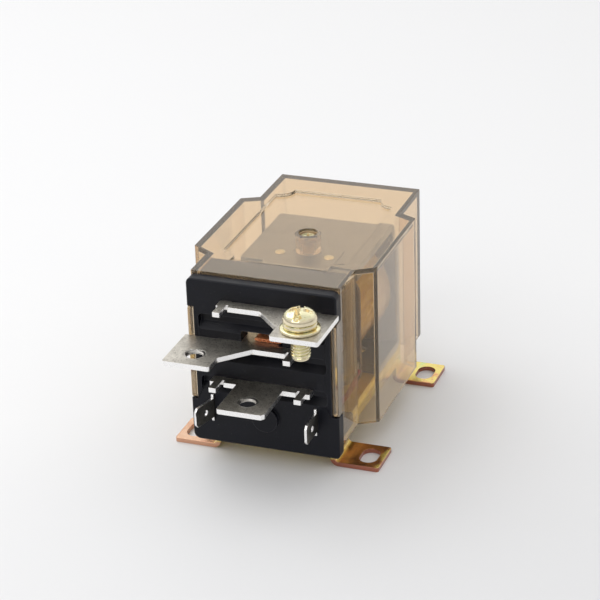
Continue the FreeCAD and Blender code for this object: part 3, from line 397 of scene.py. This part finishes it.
GOLD, COPPER, GREEN, MAROON = (0.84, 0.68, 0.20), (0.74, 0.36, 0.16), (0.66, 0.72, 0.28), (0.40, 0.15, 0.10)
FRONT_FEET_TINTS = ((0.20, 0.085, 0.04), (0.52, 0.20, 0.085), (0.66, 0.37, 0.24), (0.84, 0.56, 0.42))
LOOKS = {
    "yellow_zinc": yellow_zinc("yellow_zinc", GOLD, COPPER, GREEN, MAROON, feet=FRONT_FEET_TINTS),
    "amber_cover": amber_plastic(),
    "black_phenolic": black_phenolic(),
    # The screw's green tint is dark: painted shade, in random patches, standing in for the dark reflections
    # on its head.
    "plated_screw": yellow_zinc("plated_screw", (0.84, 0.80, 0.52), (0.74, 0.56, 0.22), (0.36, 0.42, 0.22),
                                (0.86, 0.76, 0.54), (0.06, 0.13)),
    "nickel": tumbled_nickel("tumbled_nickel", (0.45, 0.42, 0.37), (0.66, 0.625, 0.56)),
    "plated_steel": plain_metal("plated_steel", (0.26, 0.255, 0.245), (0.325, 0.32, 0.31), (0.27, 0.34),
                                depth=0.0006),
    "brass": plain_metal("brass", (0.62, 0.42, 0.16), (0.80, 0.60, 0.28), (0.22, 0.36)),
    "copper": plain_metal("copper", (0.56, 0.22, 0.10), (0.76, 0.38, 0.20), (0.26, 0.40), (1, 1, 0.15)),
    "contact_silver": plain_metal("contact_silver", (0.70, 0.69, 0.66), (0.88, 0.87, 0.84), (0.18, 0.32)),
    "natural_nylon": moulded("natural_nylon", (0.12, 0.075, 0.035), (0.20, 0.13, 0.06), 0.15),
    "coil_tape": wound_tape(),
    "brown_phenolic": moulded("brown_phenolic", (0.085, 0.035, 0.018), (0.14, 0.062, 0.03)),
    "wire_insulation": rubbery("wire_insulation", (0.30, 0.03, 0.02), (0.42, 0.05, 0.035)),
}
WINDING, STRANDS = enamelled_wire(), stranded_copper()
# The coil tabs use a much darker copy of the terminal nickel: painted shade for their faces, which lie in
# shadow and reflect the dark base.
SHADED_TAB_NICKEL = tumbled_nickel("shaded_tab_nickel", (0.13, 0.125, 0.115), (0.24, 0.23, 0.21), tab=True)


# ---------------------------------------------------------------- mesh helpers
def settle(obj):
    """Applies the modifiers that obj carries."""
    bpy.context.view_layer.update()
    graph = bpy.context.evaluated_depsgraph_get()
    shaped = obj.evaluated_get(graph)
    mesh = bpy.data.meshes.new_from_object(shaped, preserve_all_data_layers=True, depsgraph=graph)
    obj.modifiers.clear()
    obj.data = mesh
    return obj


def new_object(name, mesh):
    obj = bpy.data.objects.new(name, mesh)
    bpy.context.scene.collection.objects.link(obj)
    return obj


def smooth_shaded(mesh):
    for face in mesh.polygons:
        face.use_smooth = True


def built_object(name, build):
    """An object from a bmesh, which is used up."""
    mesh = bpy.data.meshes.new(name)
    build.to_mesh(mesh)
    build.free()
    return new_object(name, mesh)


def join_rings(build, rows, closed=False):
    """Adds the faces between rings of vertices, and those back to the first ring if closed."""
    count = len(rows[0])
    following = rows[1:] + rows[:1] if closed else rows[1:]
    for lower, upper in zip(rows, following):
        for i in range(count):
            ahead = (i + 1) % count
            build.faces.new((lower[i], lower[ahead], upper[ahead], upper[i]))


def round_point(centre, radius, angle, height=0.0):
    """Point at an angle and radius round the upright axis through centre, height above it."""
    return centre + Vector((radius * math.cos(angle), radius * math.sin(angle), height))


def box_corners(node):
    low, high = (Vector(corner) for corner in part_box(node))
    return low, high


def finish_piece(obj, node, material=None):
    """Gives obj its material and body, and lets it stand for its CAD node."""
    obj.data.materials.clear()
    obj.data.materials.append(material or LOOKS[SLOT_OF[node]])
    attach(obj, BODY_OF[node])
    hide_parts(node)


def soften(obj, width_mm, angle=32):
    """Rounds the sharp edges of obj and evens out its shading."""
    bevel = obj.modifiers.new("edge_round", "BEVEL")
    bevel.width = width_mm * MM
    bevel.segments = 2
    bevel.limit_method = "ANGLE"
    bevel.angle_limit = math.radians(angle)
    bevel.use_clamp_overlap = False
    bevel.miter_outer = "MITER_ARC"
    settle(obj)
    smooth_shaded(obj.data)
    obj.data.set_sharp_from_angle(angle=math.radians(48))
    weighted = obj.modifiers.new("even_shading", "WEIGHTED_NORMAL")
    weighted.keep_sharp = True
    return settle(obj)


def evened(obj, voxel_mm):
    """Rebuilds obj as one skin of small even faces, which rounds all of its edges."""
    enlarge = 100.0
    obj.data.transform(Matrix.Scale(enlarge, 4))
    skin = obj.modifiers.new("skin", "REMESH")
    skin.mode = "VOXEL"
    skin.voxel_size = voxel_mm * MM * enlarge
    ease = obj.modifiers.new("ease", "SMOOTH")
    ease.factor = 0.5
    ease.iterations = 3
    settle(obj)
    obj.data.transform(Matrix.Scale(1 / enlarge, 4))
    smooth_shaded(obj.data)


def clean_copy(node, merge=True):
    """A copy of a CAD node's mesh, by default with its triangles merged back into flat faces."""
    mesh = NODES[node].data.copy()
    build = bmesh.new()
    build.from_mesh(mesh)
    bmesh.ops.remove_doubles(build, verts=build.verts, dist=2e-6)
    if merge:
        bmesh.ops.dissolve_limit(build, angle_limit=math.radians(0.6), verts=build.verts, edges=build.edges)
    for face in build.faces:
        face.smooth = True
    build.to_mesh(mesh)
    build.free()
    return new_object(node + "_detailed", mesh)


def refine(node, width_mm, material=None):
    """Replaces a CAD node by the same shape with rounded edges."""
    finish_piece(soften(clean_copy(node), width_mm), node, material)


def merged(name, *objects):
    """One object from several, which are used up."""
    build = bmesh.new()
    for obj in objects:
        build.from_mesh(obj.data)
        bpy.data.objects.remove(obj)
    return built_object(name, build)


def shell_of_rings(name, rings, closed=False):
    """Solid from rings of points, each joined to the next; capped, or closed on itself."""
    build = bmesh.new()
    rows = [[build.verts.new(point) for point in ring] for ring in rings]
    join_rings(build, rows, closed)
    if not closed:
        build.faces.new(list(reversed(rows[0])))
        build.faces.new(rows[-1])
    bmesh.ops.recalc_face_normals(build, faces=build.faces)
    shell = built_object(name, build)
    smooth_shaded(shell.data)
    return shell


def threaded_rod(name, centre, low, high, crest, root, per_pitch, tip):
    """Right-handed screw thread along Z, in metres, which fades in over tip turns at its lower end."""
    around = 72
    rows = int((high - low) / THREAD_PITCH * per_pitch)
    rings = []
    for row in range(rows + 1):
        z = low + (high - low) * row / rows
        fade = min(1.0, (z - low) / (THREAD_PITCH * tip) if tip else 1.0)
        ring = []
        for i in range(around):
            turn = i / around
            phase = (z / THREAD_PITCH - turn) % 1.0
            ridge = max(0.0, 1.0 - abs(phase - 0.5) * 2.6)
            radius = root + (crest - root) * min(1.0, ridge * 1.15) * fade
            ring.append(round_point(centre, radius, turn * math.tau, z - centre.z))
        rings.append(ring)
    return shell_of_rings(name, rings)


def cut(obj, tool):
    """Takes the tool's volume off obj and deletes the tool."""
    difference = obj.modifiers.new("cut", "BOOLEAN")
    difference.operation = "DIFFERENCE"
    difference.solver = "EXACT"
    difference.object = tool
    settle(obj)
    bpy.data.objects.remove(tool)
    return obj


# ---------------------------------------------------------------- CAD shapes with rounded edges
# Width of each piece's rounded edges in millimetres.
EDGE_WIDTHS = {
    "terminal_upper": 0.13,
    "yoke": 0.3, "armature": 0.2, "iron_core": 0.15, "coil_bobbin": 0.25, "contact_carrier": 0.25,
    "moving_contact_arm": 0.12, "base_screws": 0.08, "yoke_screws": 0.08, "core_screw": 0.1,
    "core_screw_washer": 0.12, "cover_screw": 0.07, "cover_screw_washer": 0.08, "base_inserts": 0.08,
    "pole_shim": 0.05, "carrier_rivets": 0.05, "moving_contact_buttons": 0.05, "arm_rivets": 0.05,
    "braid_arm_rivet": 0.05, "braid_terminal_rivet": 0.05, "fixed_contact_no": 0.05, "fixed_contact_nc": 0.05,
    "coil_lugs": 0.08, "spring_yoke_rivets": 0.05, "spring_armature_rivets": 0.05,
}
for node_name, edge in EDGE_WIDTHS.items():
    refine(node_name, edge)
for node_name in ("coil_tab_left", "coil_tab_right"):
    refine(node_name, 0.1, material=SHADED_TAB_NICKEL)
finish_piece(soften(clean_copy("mounting_bracket", merge=False), 0.12, 30), "mounting_bracket")


# ---------------------------------------------------------------- transparent cover
def cover_with_lip():
    """The cover, whose roof recess runs out in a slope at its front."""
    cover = clean_copy("dust_cover")
    _, high = box_corners("dust_cover")
    recess_length, run, sink, half_width = 66.2 * MM, 2.4 * MM, 0.9 * MM, 14.8 * MM
    slope_start = high.y - recess_length - run
    slope_end = high.y - recess_length + 0.3 * MM
    above = high.z + 0.4 * MM
    profile = [(slope_start, high.z), (slope_end, high.z - sink), (slope_end, above), (slope_start, above)]
    ends = [[Vector((x, y, z)) for y, z in profile] for x in (-half_width, half_width)]
    cut(cover, shell_of_rings("lip", ends))
    finish_piece(soften(cover, 0.16), "dust_cover")


cover_with_lip()

# ---------------------------------------------------------------- moulded base
finish_piece(soften(clean_copy("terminal_base", merge=False), 0.1, 30), "terminal_base")

# ---------------------------------------------------------------- tapped terminals
PLATE = 1.6 * MM
THREAD_PITCH = 1.0 * MM
HOLE_CREST, HOLE_ROOT = 2.92 * MM, 2.49 * MM


def lathe(name, profile, centre, around=96):
    """Closed solid of revolution about Z from (radius, height) points, given from end to end."""
    angles = [math.tau * i / around for i in range(around)]
    rings = [[round_point(centre, radius, angle, height) for angle in angles] for radius, height in profile]
    return shell_of_rings(name, rings)


def tapped_terminal(node, x, y):
    """Terminal with a threaded hole at x, y that is countersunk on both sides."""
    strip = clean_copy(node)
    _, high = box_corners(node)
    past = 0.3 * MM
    cut(strip, threaded_rod("tap", Vector((x, y, high.z - PLATE / 2)), high.z - PLATE - past, high.z + past,
                            HOLE_CREST, HOLE_ROOT, per_pitch=10, tip=0))
    lead_in = [(2.75 * MM, -0.24 * MM), (3.25 * MM, -0.02 * MM), (3.4 * MM, 0.2 * MM)]
    lead_out = [(3.2 * MM, -PLATE - 0.2 * MM), (3.1 * MM, -PLATE + 0.02 * MM), (2.75 * MM, -PLATE + 0.2 * MM)]
    for name, profile in (("lead_in", lead_in), ("lead_out", lead_out)):
        cut(strip, lathe(name, profile, Vector((x, y, high.z))))
    finish_piece(soften(strip, 0.08, 40), node)


tapped_terminal("terminal_middle", *TAPPED_HOLES[0])
tapped_terminal("terminal_lower", *TAPPED_HOLES[1])

# ---------------------------------------------------------------- terminal screw and washers
HEAD_R, HEAD_H = 5.1 * MM, 3.6 * MM
# The head's outline from its underside to its crown, as shares of its radius and height.
HEAD_OUTLINE = ((0.02, 0.0), (0.93, 0.0), (0.985, 0.035), (1.0, 0.10), (1.0, 0.22), (0.99, 0.32),
                (0.965, 0.43), (0.92, 0.55), (0.85, 0.67), (0.75, 0.78), (0.62, 0.875), (0.47, 0.94),
                (0.3, 0.982), (0.15, 0.997), (0.01, 1.0))
SLOT_ANGLE, ARM_REACH = 96, 0.62 * HEAD_R
SHANK_CREST, SHANK_ROOT = 2.95 * MM, 2.42 * MM
# The dished washer's closed outline: radius and height in millimetres.
WASHER_OUTLINE = ((3.06, 0.25), (3.2, 0.02), (5.7, 0.0), (5.95, 0.12), (6.0, 0.35), (5.98, 0.72), (5.8, 0.86),
                  (5.3, 0.93), (3.9, 1.12), (3.2, 1.18), (3.06, 1.1))


def foot_of_axis(node):
    """Lowest point of an upright node's axis."""
    low, high = box_corners(node)
    return Vector(((low.x + high.x) / 2, (low.y + high.y) / 2, low.z))


def recess_tool(reach, depth, half_width, tapered):
    """Cutter for one straight arm of a recess, about the origin, its sides and ends sloping if tapered."""
    rings = []
    for rise, narrow in ((-depth, 0.55), (-depth * 0.4, 0.9), (0.6 * MM, 1.15)):
        length = reach * (0.55 + 0.45 * (rise + depth) / depth) if tapered else reach
        width = half_width * narrow if tapered else half_width
        rings.append([Vector((across * length, aside * width, rise))
                      for across, aside in ((-1, -1), (1, -1), (1, 1), (-1, 1))])
    return shell_of_rings("recess", rings)


def pan_head_screw():
    """Pan head with a cross recess and a slot close to Y, on a right-handed helical thread."""
    foot = foot_of_axis("terminal_screw")
    top = box_corners("terminal_screw")[1].z
    axis = Vector((foot.x, foot.y, 0.0))
    under = top - HEAD_H
    outline = [(r * HEAD_R, under + h * HEAD_H) for r, h in HEAD_OUTLINE]
    head = lathe("terminal_screw_turned", outline, axis, 128)
    slot = (SLOT_ANGLE, HEAD_R * 1.2, 1.8 * MM, 0.62 * MM, False)
    arms = [(angle, ARM_REACH, 2.5 * MM, 0.95 * MM, True) for angle in (SLOT_ANGLE - 90, SLOT_ANGLE)]
    for angle, *shape in (slot, *arms):
        tool = recess_tool(*shape)
        turned = Matrix.Rotation(math.radians(angle), 4, "Z")
        tool.data.transform(Matrix.Translation((axis.x, axis.y, top)) @ turned)
        cut(head, tool)
    evened(head, 0.085)
    shank = threaded_rod("shank", axis, foot.z, under + 0.3 * MM, SHANK_CREST, SHANK_ROOT,
                         per_pitch=12, tip=1.2)
    finish_piece(merged("terminal_screw_detailed", head, shank), "terminal_screw")


def spring_washer():
    """A rectangular wire bent round once, its ends slightly apart and offset in height."""
    foot = foot_of_axis("terminal_spring_washer")
    inner, outer, thick, edge = 3.06 * MM, 5.0 * MM, 1.28 * MM, 0.12 * MM
    gap, first_end, lift, steps = math.radians(10), math.radians(130), 0.2 * MM, 120
    section = [(inner + edge, 0), (outer - edge, 0), (outer, edge), (outer, thick - edge),
               (outer - edge, thick), (inner + edge, thick), (inner, thick - edge), (inner, edge)]
    rings = []
    for k in range(steps + 1):
        share = k / steps
        angle = first_end + (math.tau - gap) * share
        rings.append([round_point(foot, r, angle, h + lift * share) for r, h in section])
    finish_piece(shell_of_rings("spring_washer_wound", rings), "terminal_spring_washer")


def dished_washer(around=128):
    foot = foot_of_axis("terminal_flat_washer")
    rings = [[round_point(foot, r * MM, math.tau * i / around, h * MM) for r, h in WASHER_OUTLINE]
             for i in range(around)]
    finish_piece(shell_of_rings("flat_washer_dished", rings, closed=True), "terminal_flat_washer")


pan_head_screw()
spring_washer()
dished_washer()


# ---------------------------------------------------------------- flexible braid
def rounded_path(corners, radius, steps=10):
    """Points along straight runs in YZ whose corners are rounded off."""
    points = [Vector(corners[0])]
    for before, corner, after in zip(corners, corners[1:], corners[2:]):
        before, corner, after = Vector(before), Vector(corner), Vector(after)
        start = corner + (before - corner).normalized() * radius
        end = corner + (after - corner).normalized() * radius
        for k in range(steps + 1):
            t = k / steps
            points.append(start * (1 - t) ** 2 + corner * 2 * t * (1 - t) + end * t * t)
    points.append(Vector(corners[-1]))
    return points


def along(points, spacing):
    """Evenly spaced (point, direction, distance) samples along a polyline."""
    lengths = [0.0]
    for a, b in zip(points, points[1:]):
        lengths.append(lengths[-1] + (b - a).length)
    count = int(lengths[-1] / spacing)
    samples = []
    leg = 0
    for k in range(count + 1):
        distance = lengths[-1] * k / count
        while leg < len(points) - 2 and lengths[leg + 1] < distance:
            leg += 1
        a, b = points[leg], points[leg + 1]
        share = (distance - lengths[leg]) / max(1e-9, lengths[leg + 1] - lengths[leg])
        samples.append((a.lerp(b, share), (b - a).normalized(), distance))
    return samples


def strand_tube(build, path, radius, around=6):
    """Adds a closed tube along path to a bmesh."""
    skew = Vector((0.3, 0.5, 0.81))
    angles = [math.tau * i / around for i in range(around)]
    rows = []
    for k, point in enumerate(path):
        ahead = path[min(k + 1, len(path) - 1)] - path[max(k - 1, 0)]
        ahead.normalize()
        side = ahead.cross(skew).normalized()
        up = side.cross(ahead)
        spokes = [side * math.cos(angle) + up * math.sin(angle) for angle in angles]
        rows.append([build.verts.new(point + spoke * radius) for spoke in spokes])
    join_rings(build, rows)
    build.faces.new(list(reversed(rows[0])))
    build.faces.new(rows[-1])


def woven_braid():
    """Flat braid of strands that cross from side to side in two layers."""
    low, high = box_corners("flexible_braid")
    half_sheet, end_gap = 0.6 * MM, 0.05 * MM
    half_width = (high.x - low.x - 0.9 * MM) / 2
    rise_y, fall_y = -33.3 * MM, high.y - half_sheet
    crest = high.z - half_sheet
    flat = 42.1 * MM + half_sheet
    corners = [(0, low.y + end_gap, flat), (0, rise_y, flat), (0, rise_y, crest), (0, fall_y, crest),
               (0, fall_y, low.z + end_gap)]
    tight, wide = 0.55 * MM, 1.7 * MM
    path = along([Vector(corners[0])] + rounded_path(corners[:3], tight)[1:-1]
                 + rounded_path(corners[1:], wide)[1:], 0.28 * MM)
    strands, travel = 26, 11.0 * MM
    to_middle = Vector(((low.x + high.x) / 2, 0, 0))
    build = bmesh.new()
    for s in range(strands):
        line = []
        for point, direction, distance in path:
            phase = (distance / travel + s / strands) % 1.0
            across = 4 * phase - 1 if phase < 0.5 else 3 - 4 * phase
            layer = 1.0 if phase < 0.5 else -1.0
            edge = min(1.0, (1.0 - abs(across)) * 5.0)
            weave = math.sin(math.tau * (distance / travel * 6 + s * 0.5)) * 0.12
            normal = Vector((0, -direction.z, direction.y))
            aside = Vector((across * half_width, 0, 0))
            line.append(point + to_middle + aside + normal * (layer * edge * 0.27 + weave) * MM)
        strand_tube(build, line, 0.26 * MM)
    braid = built_object("flexible_braid_woven", build)
    smooth_shaded(braid.data)
    braid.data.materials.append(STRANDS)
    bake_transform(braid)
    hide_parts("flexible_braid")


woven_braid()


# ---------------------------------------------------------------- hinge spring
def bent_spring():
    """The hinge spring, divided finely where it bends with the armature."""
    spring = soften(clean_copy("hinge_spring"), 0.05)
    build = bmesh.new()
    build.from_mesh(spring.data)
    bend_y, top, end = -13.5 * MM, 53.4 * MM, 49.6 * MM
    cuts = 12
    for k in range(cuts + 1):
        level = top + (end - top) * k / cuts
        bmesh.ops.bisect_plane(build, geom=build.verts[:] + build.edges[:] + build.faces[:],
                               plane_co=(0, 0, level), plane_no=(0, 0, 1))
    build.to_mesh(spring.data)
    build.free()
    spring.data.materials.clear()
    spring.data.materials.append(LOOKS["plated_steel"])
    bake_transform(spring)
    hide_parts("hinge_spring")


bent_spring()


# ---------------------------------------------------------------- coil
def wound_ring(name, node, inner, ripple, turns, material=None, seam=0.0):
    """Hollow cylinder along Y whose outside is rippled by the turns under it, with a lapped seam."""
    low, high = box_corners(node)
    centre = (low + high) / 2
    outer = (high.x - low.x) / 2
    around, along_y, seam_angle = 160, 96, math.radians(35)
    build = bmesh.new()

    def ring_vertex(radius, angle, y):
        x, z = centre.x + radius * math.cos(angle), centre.z + radius * math.sin(angle)
        return build.verts.new((x, y, z))

    rows = []
    for k in range(along_y + 1):
        y = low.y + (high.y - low.y) * k / along_y
        end = min(1.0, min(k, along_y - k) / 2.0)
        row = []
        for i in range(around):
            share = i / around
            wave = ripple * (0.5 + 0.5 * math.cos(math.tau * (k / along_y * turns + share)))
            slack = 0.02 * MM * math.sin(math.tau * share * 5 + k * 0.21) * math.sin(k * 0.33)
            radius = outer - 0.03 * MM - wave - seam * share - abs(slack) - (1 - end) * 0.06 * MM
            row.append(ring_vertex(radius, math.tau * share + seam_angle, y))
        rows.append(row)
    front, rear = ([ring_vertex(inner, math.tau * i / around + seam_angle, y) for i in range(around)]
                   for y in (low.y, high.y))
    join_rings(build, [front, *rows, rear], closed=True)
    bmesh.ops.recalc_face_normals(build, faces=build.faces)
    ring = built_object(name, build)
    smooth_shaded(ring.data)
    ring.data.set_sharp_from_angle(angle=math.radians(50))
    finish_piece(ring, node, material)


wound_ring("coil_tape_wrapped", "coil_tape", 17.21 * MM, 0.05 * MM, 34, seam=0.07 * MM)
wound_ring("coil_winding_turns", "coil_winding", 8.42 * MM, 0.12 * MM, 60, WINDING)


# ---------------------------------------------------------------- coil leads
def insulated_lead(side):
    """Insulated wire from a coil tab to its lug: side is 1 for the right one and -1 for the left."""
    tab_x, lug_x = 17.75, 19.35
    route = ((tab_x, -35.0, 18.7), (tab_x, -33.4, 18.7), (tab_x + 0.3, -30.5, 18.7), (lug_x, -26.5, 19.4),
             (lug_x, -21.0, 20.4), (lug_x, -15.0, 21.0), (lug_x, -12.3, 21.2))
    curve = bpy.data.curves.new("lead_route", "CURVE")
    curve.dimensions = "3D"
    spline = curve.splines.new("NURBS")
    spline.points.add(len(route) - 1)
    for point, (x, y, z) in zip(spline.points, route):
        point.co = (x * side * MM, y * MM, z * MM, 1.0)
    spline.order_u = 3
    spline.use_endpoint_u = True
    spline.resolution_u = 12
    curve.bevel_depth = 0.78 * MM
    curve.bevel_resolution = 5
    curve.use_fill_caps = True
    tube = bpy.data.objects.new("lead_route", curve)
    bpy.context.scene.collection.objects.link(tube)
    bpy.context.view_layer.update()
    mesh = bpy.data.meshes.new_from_object(tube)
    bpy.data.objects.remove(tube)
    smooth_shaded(mesh)
    name = "coil_lead_right" if side > 0 else "coil_lead_left"
    finish_piece(new_object(name, mesh), "coil_leads")


for lead_side in (-1, 1):
    insulated_lead(lead_side)


# ---------------------------------------------------------------- floor, lights and camera
def paper_floor():
    """Plain white paper with painted shade: a little darker towards the front right."""
    look = Look("paper_floor")
    across, along_y, _ = look.position()
    # Painted shade: the paper darkens towards the front right, where the light falls off.
    painted_shade_slope = look.range(look.math("SUBTRACT", across, along_y), -0.05, 0.30)
    mottle = look.math("MULTIPLY", look.math("SUBTRACT", look.noise(0.01, 4), 0.5), 0.12)
    near_white, painted_shade_grey = (0.84, 0.84, 0.845), (0.68, 0.68, 0.69)
    look.colour(look.ramp(look.math("ADD", painted_shade_slope, mottle), (0.0, near_white), (1.0, painted_shade_grey)))
    look.roughness(look.range(look.noise(0.5, 4), 0.3, 0.7, 0.55, 0.7))
    return look.material


bpy.ops.mesh.primitive_plane_add(size=6.0, location=(0, 0, 0))
floor = bpy.context.object
floor.name = "floor"
floor.data.materials.append(paper_floor())


def area_light(name, at, size, power):
    """White rectangular softbox aimed at the middle of the object: metres and watts."""
    data = bpy.data.lights.new(name, "AREA")
    data.shape = "RECTANGLE"
    data.size, data.size_y = size
    data.energy = power
    light = bpy.data.objects.new(name, data)
    light.location = at
    light.rotation_mode = "QUATERNION"
    light.rotation_quaternion = (Vector((0.0, 0.0, 0.03)) - Vector(at)).to_track_quat("-Z", "Y")
    bpy.context.scene.collection.objects.link(light)


area_light("left_softbox", (-0.56, 0.16, 0.74), (0.75, 0.75), 2.4)
area_light("front_fill", (-0.15, -0.75, 0.65), (0.8, 0.5), 2.1)


def studio_sky():
    """White surroundings that darken towards the horizon in front and stay bright behind."""
    world = bpy.data.worlds.new("studio")
    world.use_nodes = True
    tree = world.node_tree
    place = tree.nodes.new("ShaderNodeTexCoord")
    split = tree.nodes.new("ShaderNodeSeparateXYZ")
    tree.links.new(place.outputs["Generated"], split.inputs["Vector"])
    total = tree.nodes.new("ShaderNodeMath")
    total.operation = "ADD"
    upward, backward = ("Z", (0.0, 0.55, 0.28, 0.80)), ("Y", (0.25, 0.75, 0.0, 0.42))
    for (axis, values), socket in zip((upward, backward), total.inputs):
        spread = tree.nodes.new("ShaderNodeMapRange")
        for name, value in zip(RANGE_SOCKETS, values):
            spread.inputs[name].default_value = value
        tree.links.new(split.outputs[axis], spread.inputs["Value"])
        tree.links.new(spread.outputs["Result"], socket)
    tree.links.new(total.outputs["Value"], tree.nodes["Background"].inputs["Strength"])
    tree.nodes["Background"].inputs["Color"].default_value = (1.0, 1.0, 1.0, 1.0)
    bpy.context.scene.world = world


studio_sky()
bpy.context.scene.view_settings.view_transform = "Standard"

# The camera stands in front, a little to the right and above, and is rolled slightly.
CAMERA_AT = Vector((0.21541, -0.57617, 0.32977))
AZIMUTH, ELEVATION, ROLL = math.radians(20.82), math.radians(25.44), math.radians(-1.888)
LENS_MM, SENSOR_MM = 130.55, 36.0
level = math.cos(ELEVATION)
back = Vector((math.sin(AZIMUTH) * level, -math.cos(AZIMUTH) * level, math.sin(ELEVATION)))
right = Vector((math.cos(AZIMUTH), math.sin(AZIMUTH), 0.0))
down = (-back).cross(right)
rolled_right = right * math.cos(ROLL) - down * math.sin(ROLL)
rolled_down = right * math.sin(ROLL) + down * math.cos(ROLL)
turn = Matrix((rolled_right, -rolled_down, back)).transposed()
camera_data = bpy.data.cameras.new("camera")
camera_data.lens = LENS_MM
camera_data.sensor_width = SENSOR_MM
camera_data.clip_start = 0.01
camera_data.clip_end = 20.0
camera = bpy.data.objects.new("camera", camera_data)
camera.location = CAMERA_AT
camera.rotation_euler = turn.to_euler()
bpy.context.scene.collection.objects.link(camera)
bpy.context.scene.camera = camera
